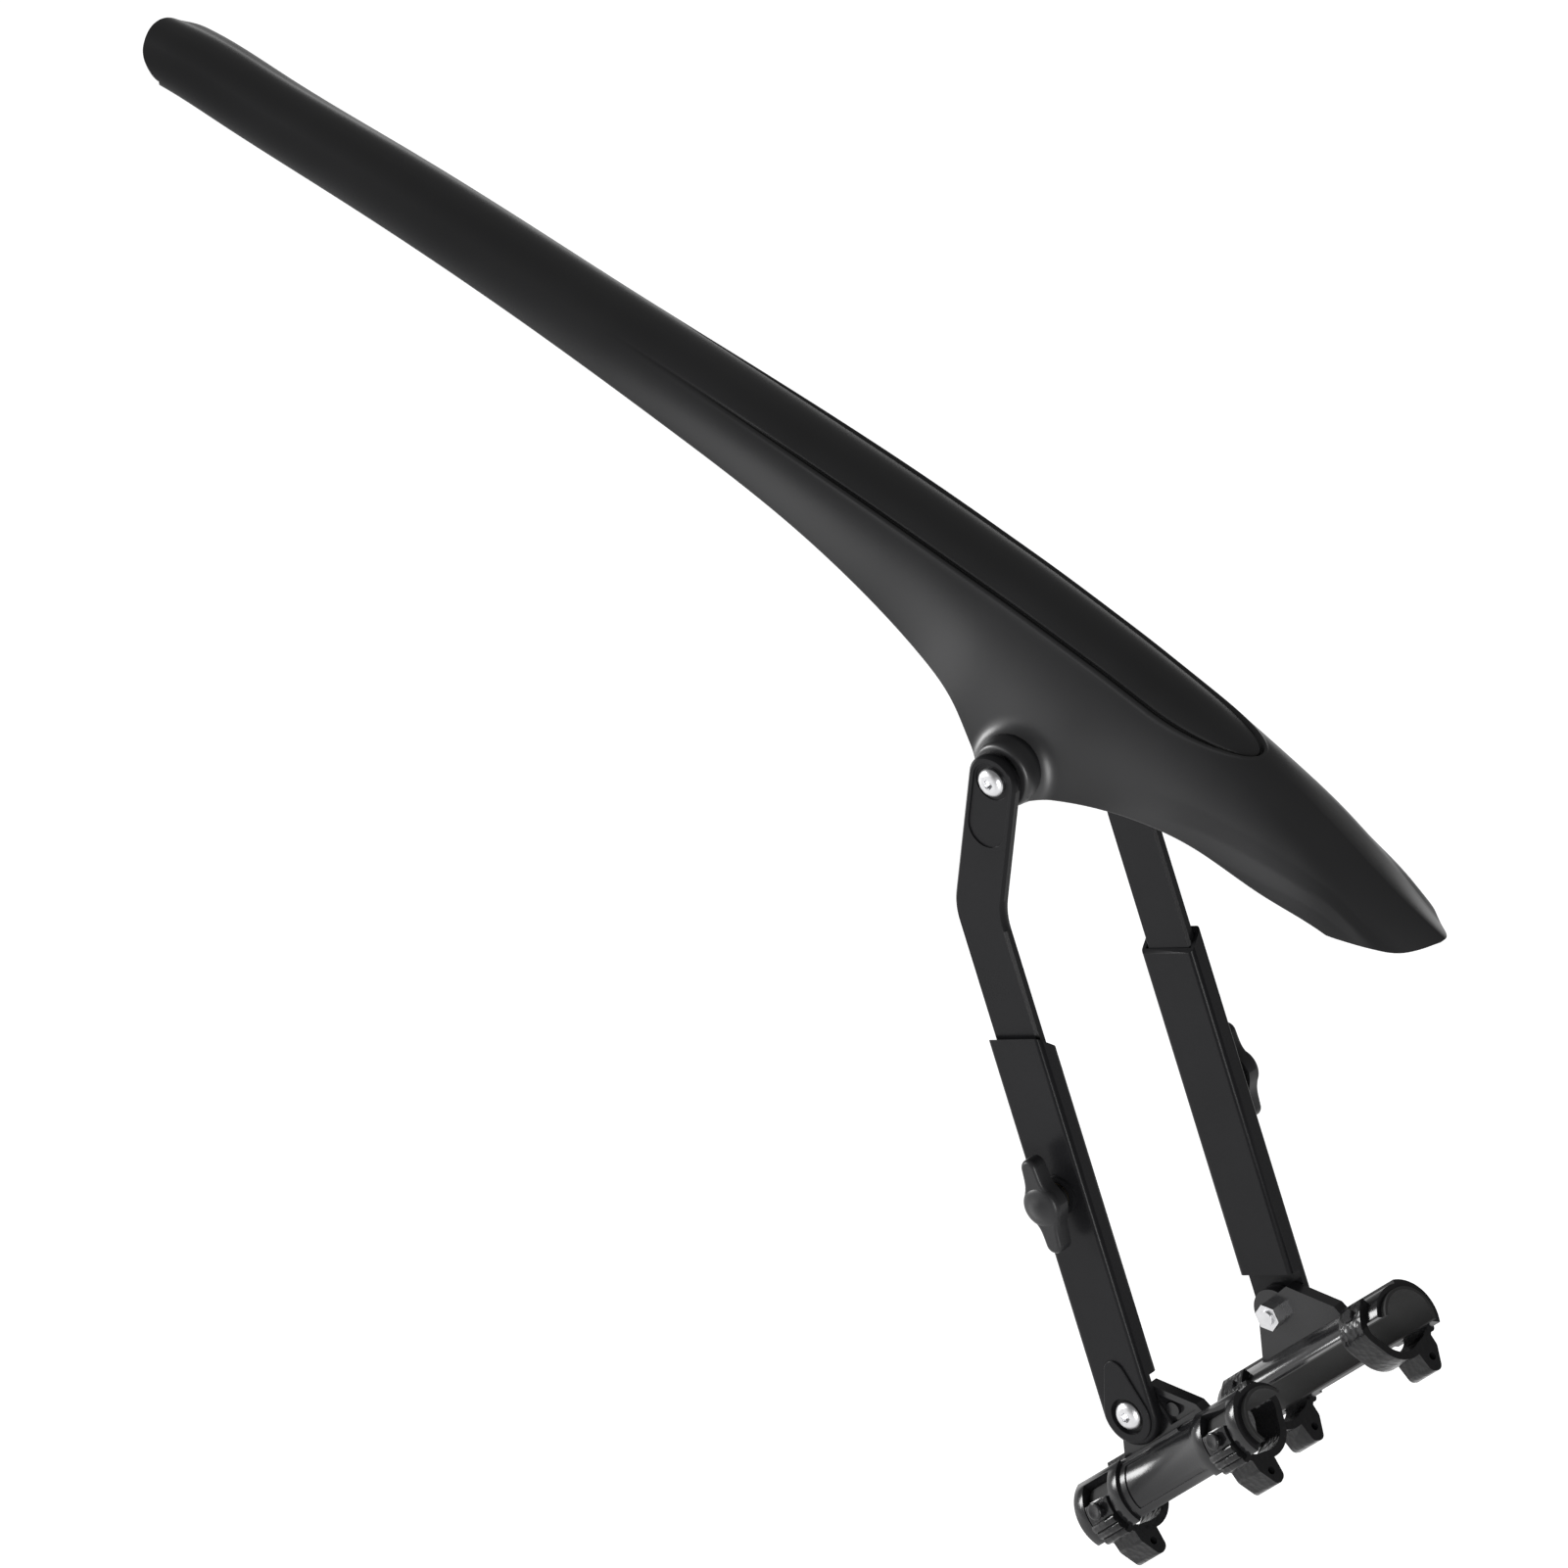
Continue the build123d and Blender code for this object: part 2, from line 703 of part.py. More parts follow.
# rubber straps that close the clamps
for side in sides:
    for place, middle in (("rear", -half_clamp + band_length / 2), ("front", half_clamp - band_length / 2)):
        with BuildPart() as strap:
            steps = 22
            angles = [blend(strap_top_angle, strap_end_angle, k / steps) for k in range(steps + 1)]
            half = strap_thickness / 2
            outer_line = [polar(strap_radius(angle) + half, angle) for angle in angles]
            inner_line = [polar(strap_radius(angle) - half, angle) for angle in angles]
            with BuildSketch(stay_plane(middle - strap_width / 2)):
                with BuildLine():
                    Spline(*outer_line)
                    Line(outer_line[-1], inner_line[-1])
                    Spline(*reversed(inner_line))
                    Line(inner_line[0], outer_line[0])
                make_face()
                # finger tab: a loop that stands out below the tube
                tab_middle = (tab_start_angle + tab_tip_angle) / 2
                with BuildLine():
                    FilletPolyline(
                        polar(strap_radius(tab_start_angle), tab_start_angle),
                        polar(tab_reach - tab_round, tab_middle - 8),
                        polar(tab_reach + tab_round, tab_middle + 14),
                        polar(tab_reach, tab_tip_angle),
                        polar(strap_radius(tab_tip_angle), tab_tip_angle),
                        radius=tab_round,
                    )
                    Line(
                        polar(strap_radius(tab_tip_angle), tab_tip_angle),
                        polar(strap_radius(tab_start_angle), tab_start_angle),
                    )
                make_face()
                # grip ribs above the tab
                for angle in strap_rib_angles:
                    with Locations(polar(strap_radius(angle) + half, angle)):
                        Circle(strap_rib)
            extrude(amount=strap_width)
            # opening of the loop
            with BuildSketch(stay_plane(middle - strap_width / 2)):
                loop_radius = (stay_radius + strap_thickness + tab_reach) / 2 + 0.6
                with Locations(polar(loop_radius, tab_middle + 10)):
                    Circle((tab_reach - stay_radius - strap_thickness) / 2 - tab_wall)
            extrude(amount=strap_width, mode=Mode.SUBTRACT)
            # eyelets for the pegs
            for angle in (peg_angle, hook_angle):
                peg_dir = outward * sin(radians(angle)) + stay_up * cos(radians(angle))
                start = stay_point(middle) + peg_dir * stay_radius
                with BuildSketch(Plane(origin=start, x_dir=stay_dir, z_dir=peg_dir)):
                    Circle(peg_radius + peg_clearance)
                extrude(amount=10, mode=Mode.SUBTRACT)
            own_side(side)
        save(strap, f"strap_{place}_{side}")

# pivot screws with domed heads and a hexagon socket
for side in sides:
    for place, point, head_face, tip in (
        ("top", top_pivot, arm_out - seat_depth + head_gap, boss_end - screw_hold),
        ("low", lower_pivot, sleeve_out - seat_depth + head_gap, ear_inner_face - nut_thickness - nut_overrun),
    ):
        with BuildPart() as screw:
            with BuildSketch(pivot_plane(point, tip)):
                Circle(screw_radius)
            extrude(amount=head_face - tip)
            with BuildSketch(Plane(origin=at_depth(point, head_face), x_dir=(1, 0, 0), z_dir=(0, 0, 1))):
                with BuildLine():
                    Polyline((0, -head_height), (0, 0), (head_radius, 0), (head_radius, -head_height * 0.35))
                    ThreePointArc(
                        (head_radius, -head_height * 0.35),
                        (head_radius * 0.8, -head_height * 0.82),
                        (head_radius * 0.45, -head_height),
                    )
                    Line((head_radius * 0.45, -head_height), (0, -head_height))
                make_face()
            revolve(axis=Axis(tuple(point), (0, 1, 0)))
            with BuildSketch(pivot_plane(point, head_face + head_height)):
                RegularPolygon(socket_size / 2, 6, major_radius=False)
            extrude(amount=-socket_depth, mode=Mode.SUBTRACT)
            own_side(side)
        save(screw, f"screw_{place}_{side}")

# nuts behind the ears
for side in sides:
    with BuildPart() as nut:
        with BuildSketch(pivot_plane(lower_pivot, ear_inner_face)):
            RegularPolygon(nut_width / 2, 6, major_radius=False)
            Circle(screw_radius, mode=Mode.SUBTRACT)
        extrude(amount=-nut_thickness)
        own_side(side)
    save(nut, f"nut_{side}")

# washers between the turning faces
for side in sides:
    for place, point, start in (("top", top_pivot, boss_end), ("low", lower_pivot, ear_outer_face)):
        gap = arm_in - boss_end if place == "top" else tongue_in - ear_outer_face
        with BuildPart() as washer:
            with BuildSketch(pivot_plane(point, start)):
                Circle(washer_radius)
                Circle(screw_radius + running_clearance, mode=Mode.SUBTRACT)
            extrude(amount=gap - face_gap)
            own_side(side)
        save(washer, f"washer_{place}_{side}")

# threaded inserts in the blade's bosses
for side in sides:
    with BuildPart() as insert_top:
        with BuildSketch(pivot_plane(top_pivot, boss_end - insert_length)):
            Circle(insert_radius)
            Circle(screw_radius, mode=Mode.SUBTRACT)
        extrude(amount=insert_length)
        own_side(side)
    save(insert_top, f"insert_top_{side}")

# threaded inserts in the sleeves
for side in sides:
    with BuildPart() as insert_sleeve:
        insert_start = arm_out + slide_clearance
        with BuildSketch(strut_plane(insert_start, wing_height)):
            Circle(insert_radius)
            Circle(stud_radius + running_clearance, mode=Mode.SUBTRACT)
        extrude(amount=sleeve_out + wing_boss_height - insert_start)
        own_side(side)
    save(insert_sleeve, f"insert_sleeve_{side}")

# steel studs of the wing screws
for side in sides:
    with BuildPart() as stud:
        stud_start = arm_out + face_gap
        knob_start = sleeve_out + wing_boss_height + knob_gap
        with BuildSketch(strut_plane(stud_start, wing_height)):
            Circle(stud_radius)
        extrude(amount=knob_start + stud_hold - stud_start)
        own_side(side)
    save(stud, f"stud_{side}")

# wing knobs: a domed hub on a slim neck, with two wings set a little apart
for side in sides:
    with BuildPart() as knob:
        wing_axis = at_depth(lower_pivot + strut_dir * wing_height, knob_start)
        half = wing_span / 2
        tip = wing_tip_width / 2
        with BuildSketch(strut_plane(knob_start + wing_standoff, wing_height)):
            with BuildLine():
                Spline(
                    (-hub_radius, 0),
                    (-wing_width / 2 - wing_lean, hub_radius),
                    (-tip - wing_lean, half - tip),
                    tangents=((0.1, 1), (0.1, 1)),
                )
                ThreePointArc(
                    (-tip - wing_lean, half - tip),
                    (-wing_lean, half),
                    (tip - wing_lean, half - tip),
                )
                Spline(
                    (tip - wing_lean, half - tip),
                    (wing_width / 2 - wing_lean, hub_radius),
                    (hub_radius, 0),
                    tangents=((0.1, -1), (0.1, -1)),
                )
                Spline(
                    (hub_radius, 0),
                    (wing_width / 2 + wing_lean, -hub_radius),
                    (tip + wing_lean, tip - half),
                    tangents=((-0.1, -1), (-0.1, -1)),
                )
                ThreePointArc(
                    (tip + wing_lean, tip - half),
                    (wing_lean, -half),
                    (wing_lean - tip, tip - half),
                )
                Spline(
                    (wing_lean - tip, tip - half),
                    (wing_lean - wing_width / 2, -hub_radius),
                    (-hub_radius, 0),
                    tangents=((-0.1, 1), (-0.1, 1)),
                )
            make_face()
        extrude(amount=wing_rise)
        fillet(knob.faces().sort_by(Axis.Y)[0].edges(), wing_round)
        # neck and domed hub, turned about the stud
        with BuildSketch(Plane(origin=wing_axis, x_dir=strut_side, z_dir=strut_dir)):
            rise = wing_standoff + wing_rise
            with BuildLine():
                Polyline(
                    (0, 0),
                    (neck_radius, 0),
                    (neck_radius, -wing_standoff),
                    (hub_radius, hub_shoulder - rise),
                )
                Spline(
                    (hub_radius, hub_shoulder - rise),
                    (hub_radius * 0.6, -hub_height + hub_dome * 0.3),
                    (0, -hub_height),
                    tangents=((0, -1), (-1, 0)),
                )
                Line((0, -hub_height), (0, 0))
            make_face()
        revolve(axis=Axis(tuple(wing_axis), (0, 1, 0)))
        with BuildSketch(strut_plane(knob_start, wing_height)):
            Circle(stud_radius)
        extrude(amount=stud_hold, mode=Mode.SUBTRACT)
        own_side(side)
    save(knob, f"knob_{side}")
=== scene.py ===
import bpy
import numpy as np
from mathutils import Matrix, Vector


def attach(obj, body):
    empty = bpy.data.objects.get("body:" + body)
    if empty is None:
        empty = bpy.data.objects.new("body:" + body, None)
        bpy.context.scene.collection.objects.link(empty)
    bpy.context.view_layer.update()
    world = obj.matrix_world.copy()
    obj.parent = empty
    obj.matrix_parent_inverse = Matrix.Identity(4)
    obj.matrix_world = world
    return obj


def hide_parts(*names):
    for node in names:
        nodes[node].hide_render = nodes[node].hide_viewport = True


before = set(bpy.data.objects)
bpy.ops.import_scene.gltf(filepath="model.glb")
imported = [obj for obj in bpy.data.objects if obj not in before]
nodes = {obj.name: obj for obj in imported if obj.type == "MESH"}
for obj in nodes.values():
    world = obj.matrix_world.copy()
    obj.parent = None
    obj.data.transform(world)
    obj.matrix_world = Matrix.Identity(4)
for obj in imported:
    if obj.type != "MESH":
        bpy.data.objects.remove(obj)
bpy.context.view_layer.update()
print("frame loaded:", len(nodes), "nodes")
millimetre = 0.001


class Wire:
    # one socket of a material, joined to others with plain operators
    def __init__(self, tree, socket=None):
        self.tree = tree
        self.socket = socket

    def make(self, kind, settings, sockets, out=0):
        # any node: its type, its settings, then a value or a link for each socket
        node = self.tree.nodes.new(kind)
        for name, value in settings.items():
            setattr(node, name, value)
        for key, value in sockets.items():
            if isinstance(value, Wire):
                self.tree.links.new(value.socket, node.inputs[key])
            else:
                node.inputs[key].default_value = value
        return Wire(self.tree, node.outputs[out])

    def maths(self, operation, other, flipped=False):
        pair = (other, self) if flipped else (self, other)
        return self.make("ShaderNodeMath", {"operation": operation}, {0: pair[0], 1: pair[1]})

    def __add__(self, other):
        return self.maths("ADD", other)

    def __radd__(self, other):
        return self.maths("ADD", other, True)

    def __sub__(self, other):
        return self.maths("SUBTRACT", other)

    def __rsub__(self, other):
        return self.maths("SUBTRACT", other, True)

    def __mul__(self, other):
        return self.maths("MULTIPLY", other)

    def __rmul__(self, other):
        return self.maths("MULTIPLY", other, True)


def noise(place, scale, detail=3.0, rough=0.55):
    sockets = {"Vector": place, "Scale": scale, "Detail": detail, "Roughness": rough}
    return place.make("ShaderNodeTexNoise", {}, sockets)


def startMaterial(name):
    material = bpy.data.materials.new(name)
    material.use_nodes = True
    tree = material.node_tree
    shader = tree.nodes["Principled BSDF"]
    place = Wire(tree).make("ShaderNodeTexCoord", {}, {}, "Object")
    return material, shader, place


def wireTo(shader, name, wire):
    wire.tree.links.new(wire.socket, shader.inputs[name])


def mixColour(share, low, high):
    # sockets 6 and 7 and output 2 are the colours of a Mix node
    return share.make("ShaderNodeMix", {"data_type": "RGBA"}, {0: share, 6: low, 7: high}, 2)


moulding = {"grainDetail": 2.0, "grainGloss": 0.06, "panelPaintedShade": 0.35, "grainOnDots": 0.2}


def mouldedBlack(name, look):
    # moulded plastic or rubber: fine grain from the tool plus slow drifts of colour and gloss
    material, shader, place = startMaterial(name)
    grain = noise(place, look["grainScale"], moulding["grainDetail"])
    drift = noise(place, look["driftScale"])
    share = drift
    gloss = look["rough"] + (drift - 0.5) * look["roughDrift"] + (grain - 0.5) * moulding["grainGloss"]
    if "panel" in look:
        # the sunk panel of the blade is duller, and its colour is darkened as painted shade on the
        # upward-facing panel
        panel = place.make("ShaderNodeAttribute", {"attribute_name": "panel"}, {}, "Fac")
        gloss = gloss + panel * look["panel"]
        share = share - panel * moulding["panelPaintedShade"]
    wireTo(shader, "Base Color", mixColour(share, look["dark"], look["light"]))
    wireTo(shader, "Roughness", gloss)
    height = grain
    if "dots" in look:
        # close-set dimples of the strap rubber
        dots = place.make("ShaderNodeTexVoronoi", {}, {"Vector": place, "Scale": look["dots"]})
        height = dots + grain * moulding["grainOnDots"]
    sockets = {"Strength": look["bump"], "Distance": look["depth"], "Height": height}
    wireTo(shader, "Normal", place.make("ShaderNodeBump", {}, sockets))
    shader.inputs["Specular IOR Level"].default_value = look["specular"]
    return material


turning = {"rough": 0.32, "stainScale": 420.0, "stainGloss": 0.14, "bump": 0.25, "depth": 0.00002}


def turnedMetal(name, look):
    # rings left by turning, measured from the axis of the piece, and faint stains
    material, shader, place = startMaterial(name)
    across = place.make("ShaderNodeSeparateXYZ", {}, {0: place}, "X") - look["centre"][0]
    tall = place.make("ShaderNodeSeparateXYZ", {}, {0: place}, "Z") - look["centre"][1]
    radius = (across * across + tall * tall).maths("POWER", 0.5)
    rings = (radius * look["ringScale"]).maths("SINE", 0.0)
    stain = noise(place, turning["stainScale"])
    wireTo(shader, "Base Color", mixColour(stain, look["dark"], look["light"]))
    wireTo(shader, "Roughness", turning["rough"] + (stain - 0.5) * turning["stainGloss"])
    sockets = {"Strength": turning["bump"], "Distance": turning["depth"], "Height": rings}
    wireTo(shader, "Normal", place.make("ShaderNodeBump", {}, sockets))
    shader.inputs["Metallic"].default_value = 1.0
    return material


finishes = {
    "blade": mouldedBlack("bladeBlack", {
        "dark": (0.0075, 0.0075, 0.008, 1), "light": (0.017, 0.017, 0.018, 1),
        "rough": 0.36, "roughDrift": 0.08, "specular": 0.45, "panel": 0.08,
        "grainScale": 2400.0, "driftScale": 16.0, "bump": 0.12, "depth": 0.00005}),
    "strut": mouldedBlack("strutBlack", {
        "dark": (0.006, 0.006, 0.0065, 1), "light": (0.009, 0.009, 0.010, 1),
        "rough": 0.30, "roughDrift": 0.10, "specular": 0.10,
        "grainScale": 2400.0, "driftScale": 30.0, "bump": 0.25, "depth": 0.00006}),
    "knob": mouldedBlack("knobBlack", {
        "dark": (0.011, 0.011, 0.012, 1), "light": (0.018, 0.018, 0.019, 1),
        "rough": 0.36, "roughDrift": 0.12, "specular": 0.22,
        "grainScale": 3000.0, "driftScale": 60.0, "bump": 0.25, "depth": 0.00005}),
    "clamp": mouldedBlack("clampBlack", {
        "dark": (0.006, 0.006, 0.0065, 1), "light": (0.011, 0.011, 0.012, 1),
        "rough": 0.20, "roughDrift": 0.10, "specular": 0.32,
        "grainScale": 1800.0, "driftScale": 60.0, "bump": 0.25, "depth": 0.00006}),
    "strap": mouldedBlack("strapRubber", {
        "dark": (0.005, 0.005, 0.0055, 1), "light": (0.009, 0.009, 0.0095, 1),
        "rough": 0.20, "roughDrift": 0.14, "specular": 0.26, "dots": 520.0,
        "grainScale": 900.0, "driftScale": 90.0, "bump": 0.4, "depth": 0.0004}),
    "pad": mouldedBlack("padRubber", {
        "dark": (0.012, 0.012, 0.012, 1), "light": (0.020, 0.020, 0.020, 1),
        "rough": 0.72, "roughDrift": 0.12, "specular": 0.35,
        "grainScale": 1600.0, "driftScale": 70.0, "bump": 0.4, "depth": 0.00010}),
    "washer": mouldedBlack("washerBlack", {
        "dark": (0.012, 0.012, 0.013, 1), "light": (0.020, 0.020, 0.021, 1),
        "rough": 0.45, "roughDrift": 0.10, "specular": 0.45,
        "grainScale": 2400.0, "driftScale": 90.0, "bump": 0.25, "depth": 0.00005}),
}
# axes of the turned pieces: forward and up, in metres
pivots = {"low": (-0.015618, 0.016748), "top": (-0.070844, 0.226061), "wing": (-0.042358, 0.087889)}
for place, centre in pivots.items():
    finishes["steel" + place] = turnedMetal("steel" + place, {
        "dark": (0.46, 0.46, 0.47, 1), "light": (0.62, 0.62, 0.63, 1),
        "ringScale": 26000.0, "centre": centre})
    finishes["brass" + place] = turnedMetal("brass" + place, {
        "dark": (0.50, 0.36, 0.13, 1), "light": (0.66, 0.50, 0.22, 1),
        "ringScale": 22000.0, "centre": centre})
finishOf = {
    "blade": "blade", "arm": "strut", "sleeve": "strut", "knob": "knob", "clamp": "clamp", "pad": "pad",
    "strap_rear": "strap", "strap_front": "strap", "washer_top": "washer", "washer_low": "washer",
    "screw_top": "steeltop", "screw_low": "steellow", "nut": "steellow", "stud": "steelwing",
    "insert_top": "brasstop", "insert_sleeve": "brasswing"}


def kindOf(name):
    return name.removesuffix("_right").removesuffix("_left")


for name, node in nodes.items():
    node.data.materials.clear()
    node.data.materials.append(finishes[finishOf[kindOf(name)]])
print("finishes on the solids:", len(finishes))


def smooth(share):
    # cubic step that leaves 0 and reaches 1 without a corner
    share = np.clip(share, 0.0, 1.0)
    return share * share * (3 - 2 * share)


def softLine(distance, at, wide):
    # bell curve: 1 on the line, falling off on both sides
    return np.exp(-((distance - at) / wide) ** 2)


def splineThrough(knots, values, at):
    # natural cubic through all knots: the bends come from one banded system
    step = np.diff(knots)
    count = len(knots)
    inner = np.arange(1, count - 1)
    system = np.eye(count)
    system[inner, inner - 1] = step[:-1]
    system[inner, inner] = 2 * (step[:-1] + step[1:])
    system[inner, inner + 1] = step[1:]
    load = np.zeros(values.shape)
    load[inner] = 6 * np.diff(np.diff(values, axis=0) / step[:, None], axis=0)
    bend = np.linalg.solve(system, load)
    span = np.clip(np.searchsorted(knots, at) - 1, 0, count - 2)
    width = step[span][:, None]
    before = (knots[span + 1] - at)[:, None]
    after = (at - knots[span])[:, None]
    curve = (bend[span] * before ** 3 + bend[span + 1] * after ** 3) / (6 * width)
    curve += (values[span] / width - bend[span] * width / 6) * before
    return curve + (values[span + 1] / width - bend[span + 1] * width / 6) * after


def gridFaces(rows, columns, start=0, flip=False):
    # quads of a grid of points that is stored row by row
    corner = (np.arange(rows - 1)[:, None] * columns + np.arange(columns - 1)[None, :]).ravel() + start
    quads = np.stack([corner, corner + 1, corner + columns + 1, corner + columns], axis=1)
    return quads[:, ::-1] if flip else quads


def makePiece(name, grids, finish, marks=None):
    # grids: (rows, columns, 3) points in metres and whether their faces are flipped
    points, faces, start = [], [], 0
    for grid, flip in grids:
        points.append(grid.reshape(-1, 3))
        faces.append(gridFaces(grid.shape[0], grid.shape[1], start, flip))
        start += grid.shape[0] * grid.shape[1]
    points = np.concatenate(points)
    faces = np.concatenate(faces)
    mesh = bpy.data.meshes.new(name)
    mesh.vertices.add(len(points))
    mesh.vertices.foreach_set("co", points.astype(np.float32).ravel())
    mesh.loops.add(faces.size)
    mesh.loops.foreach_set("vertex_index", faces.astype(np.int32).ravel())
    mesh.polygons.add(len(faces))
    mesh.polygons.foreach_set("loop_start", np.arange(0, faces.size, 4, dtype=np.int32))
    mesh.polygons.foreach_set("use_smooth", np.ones(len(faces), dtype=bool))
    for mark, values in (marks or {}).items():
        full = np.zeros(len(points), dtype=np.float32)
        full[:values.size] = values.ravel()
        mesh.attributes.new(mark, "FLOAT", "POINT").data.foreach_set("value", full)
    mesh.update(calc_edges=True)
    mesh.validate()
    piece = bpy.data.objects.new(name, mesh)
    bpy.context.scene.collection.objects.link(piece)
    mesh.materials.append(finish)
    return piece


# the blade, in millimetres; one row per cross section, as shares of its main sizes: place along the blade,
# ridge height, shoulder half width, shoulder height, edge half width, edge height, fullness of the flank
blade = {
    "rows": np.array([
        (-1.000, 0.490, 0.290, 0.428, 0.600, 0.300, 0.00),
        (-0.953, 0.561, 0.300, 0.509, 0.600, 0.375, 0.00),
        (-0.890, 0.605, 0.310, 0.548, 0.600, 0.410, 0.00),
        (-0.763, 0.711, 0.335, 0.650, 0.620, 0.488, 0.00),
        (-0.540, 0.843, 0.385, 0.768, 0.668, 0.568, 0.00),
        (-0.400, 0.925, 0.435, 0.830, 0.710, 0.566, 0.00),
        (-0.282, 0.987, 0.465, 0.873, 0.760, 0.534, 0.15),
        (-0.190, 1.019, 0.475, 0.893, 0.825, 0.440, 0.30),
        (-0.113, 1.027, 0.470, 0.899, 0.890, 0.285, 0.45),
        (-0.068, 1.027, 0.465, 0.899, 0.985, 0.138, 0.52),
        (-0.038, 1.020, 0.460, 0.894, 1.050, -0.060, 0.56),
        (0.000, 1.006, 0.452, 0.886, 1.085, -0.183, 0.58),
        (0.065, 0.997, 0.446, 0.879, 1.055, -0.105, 0.54),
        (0.145, 0.979, 0.440, 0.863, 0.970, 0.012, 0.46),
        (0.265, 0.948, 0.428, 0.836, 0.880, 0.150, 0.35),
        (0.440, 0.873, 0.410, 0.771, 0.810, 0.250, 0.20),
        (0.620, 0.749, 0.390, 0.657, 0.760, 0.230, 0.10),
        (0.810, 0.565, 0.365, 0.459, 0.720, 0.240, 0.00),
        (0.925, 0.472, 0.335, 0.335, 0.680, 0.140, 0.00),
        (1.000, 0.428, 0.320, 0.270, 0.660, 0.070, 0.00)]),
    "tailReach": 380.0, "noseReach": 147.0, "ridgeRise": 44.0, "flankReach": 29.0, "tilt": 17.0,
    # shell, thinner towards the nose, and its rim
    "wall": 1.8, "lip": 0.8, "thinFrom": 80.0, "thinLong": 67.0, "wallShare": 0.45,
    "edgeLean": 0.6, "rimLines": 6, "rimBulge": 0.8,
    # outline in plan at both ends
    "tailMiddle": -362.0, "tailRound": 16.4, "tailHalf": 17.0, "uncut": 99.0, "leastCut": 0.001,
    "noseMiddle": 108.0, "noseRound": 37.6, "noseHalf": 21.8, "nosePower": 0.72,
    # roundness of the ridge, and the directions and pull of the flank's curve
    "topShare": 0.35, "crown": 2.3, "noseCrown": 1.35, "crestFrom": 55.0, "crestLong": 40.0,
    "fullStart": (0.62, -0.78), "plainStop": (0.5, -0.86), "fullStop": (0.1, -1.0), "pull": 0.38}


def skin(share, row):
    # drop grows as a power of the half width from the ridge to the shoulder,
    # then a cubic curve with four control points runs to the edge
    ridge, shoulderY, shoulderZ, edgeY, edgeZ, full, crown = (row[:, k:k + 1] for k in range(7))
    drop = ridge - shoulderZ
    top = np.clip(share / blade["topShare"], 0, 1)
    low = np.clip((share - blade["topShare"]) / (1 - blade["topShare"]), 0, 1)
    slope = crown * drop / shoulderY
    length = np.hypot(1, slope)
    startY = (1 - full) / length + blade["fullStart"][0] * full
    startZ = -(1 - full) * slope / length + blade["fullStart"][1] * full
    stopY = blade["plainStop"][0] * (1 - full) + blade["fullStop"][0] * full
    stopZ = blade["plainStop"][1] * (1 - full) + blade["fullStop"][1] * full
    reach = blade["pull"] * np.hypot(edgeY - shoulderY, edgeZ - shoulderZ)
    pullOne = reach / np.hypot(startY, startZ)
    pullTwo = reach / np.hypot(stopY, stopZ)
    rest = 1 - low
    weights = (rest ** 3, 3 * rest * rest * low, 3 * rest * low * low, low ** 3)
    curveY = (shoulderY, shoulderY + startY * pullOne, edgeY - stopY * pullTwo, edgeY)
    curveZ = (shoulderZ, shoulderZ + startZ * pullOne, edgeZ - stopZ * pullTwo, edgeZ)
    lowY = sum(weight * value for weight, value in zip(weights, curveY))
    lowZ = sum(weight * value for weight, value in zip(weights, curveZ))
    onTop = share < blade["topShare"]
    return np.where(onTop, shoulderY * top, lowY), np.where(onTop, ridge - drop * top ** crown, lowZ)


def shareAt(target, row, halvings=26):
    # where the skin reaches a given half width, by halving the interval
    low = np.zeros(target.shape)
    high = np.ones(target.shape)
    for _ in range(halvings):
        middle = (low + high) / 2
        inside = skin(middle, row)[0] < target
        low, high = np.where(inside, middle, low), np.where(inside, high, middle)
    return (low + high) / 2


def bladePoint(along, across, tall):
    # from the blade's own lengths, measured from the top pivot, to the shared frame
    tilt = np.radians(blade["tilt"])
    x = pivots["top"][0] + (along * np.cos(tilt) + tall * np.sin(tilt)) * millimetre
    z = pivots["top"][1] + (tall * np.cos(tilt) - along * np.sin(tilt)) * millimetre
    return np.stack([x, across * millimetre, z], axis=-1)


# lines across the blade: close together at the tip of the sunk panel and round both ends
spacing = {
    "endLines": 36, "endTurn": 89.9, "tailStop": -205.0, "tailLines": 56, "neck": (-203, -20, 1.9),
    "bosses": (-20, 20, 0.8), "ahead": (20, 26, 1.5), "panelTip": (26, 68, 0.26),
    "noseFrom": 68, "noseStep": 1.5,
    "flankLines": 40, "flankPower": 1.3, "innerLines": 10}
quarter = np.radians(np.linspace(0, spacing["endTurn"], spacing["endLines"]))
along = np.concatenate([
    blade["tailMiddle"] - blade["tailRound"] * np.sin(quarter[:0:-1]),
    np.linspace(blade["tailMiddle"], spacing["tailStop"], spacing["tailLines"]),
    np.arange(*spacing["neck"]),
    np.arange(*spacing["bosses"]),
    np.arange(*spacing["ahead"]),
    np.arange(*spacing["panelTip"]),
    np.arange(spacing["noseFrom"], blade["noseMiddle"], spacing["noseStep"]),
    blade["noseMiddle"] + blade["noseRound"] * np.sin(quarter)])
shares = blade["rows"]
places = np.where(shares[:, 0] < 0, shares[:, 0] * blade["tailReach"], shares[:, 0] * blade["noseReach"])
rise, flank = blade["ridgeRise"], blade["flankReach"]
row = splineThrough(places, shares[:, 1:] * np.array([rise, flank, rise, flank, rise, 1.0]), along)
# the ridge sharpens to a crest towards the nose
crest = smooth((along - blade["crestFrom"]) / blade["crestLong"])
crown = blade["crown"] + (blade["noseCrown"] - blade["crown"]) * crest
row = np.concatenate([row, crown[:, None]], axis=1)
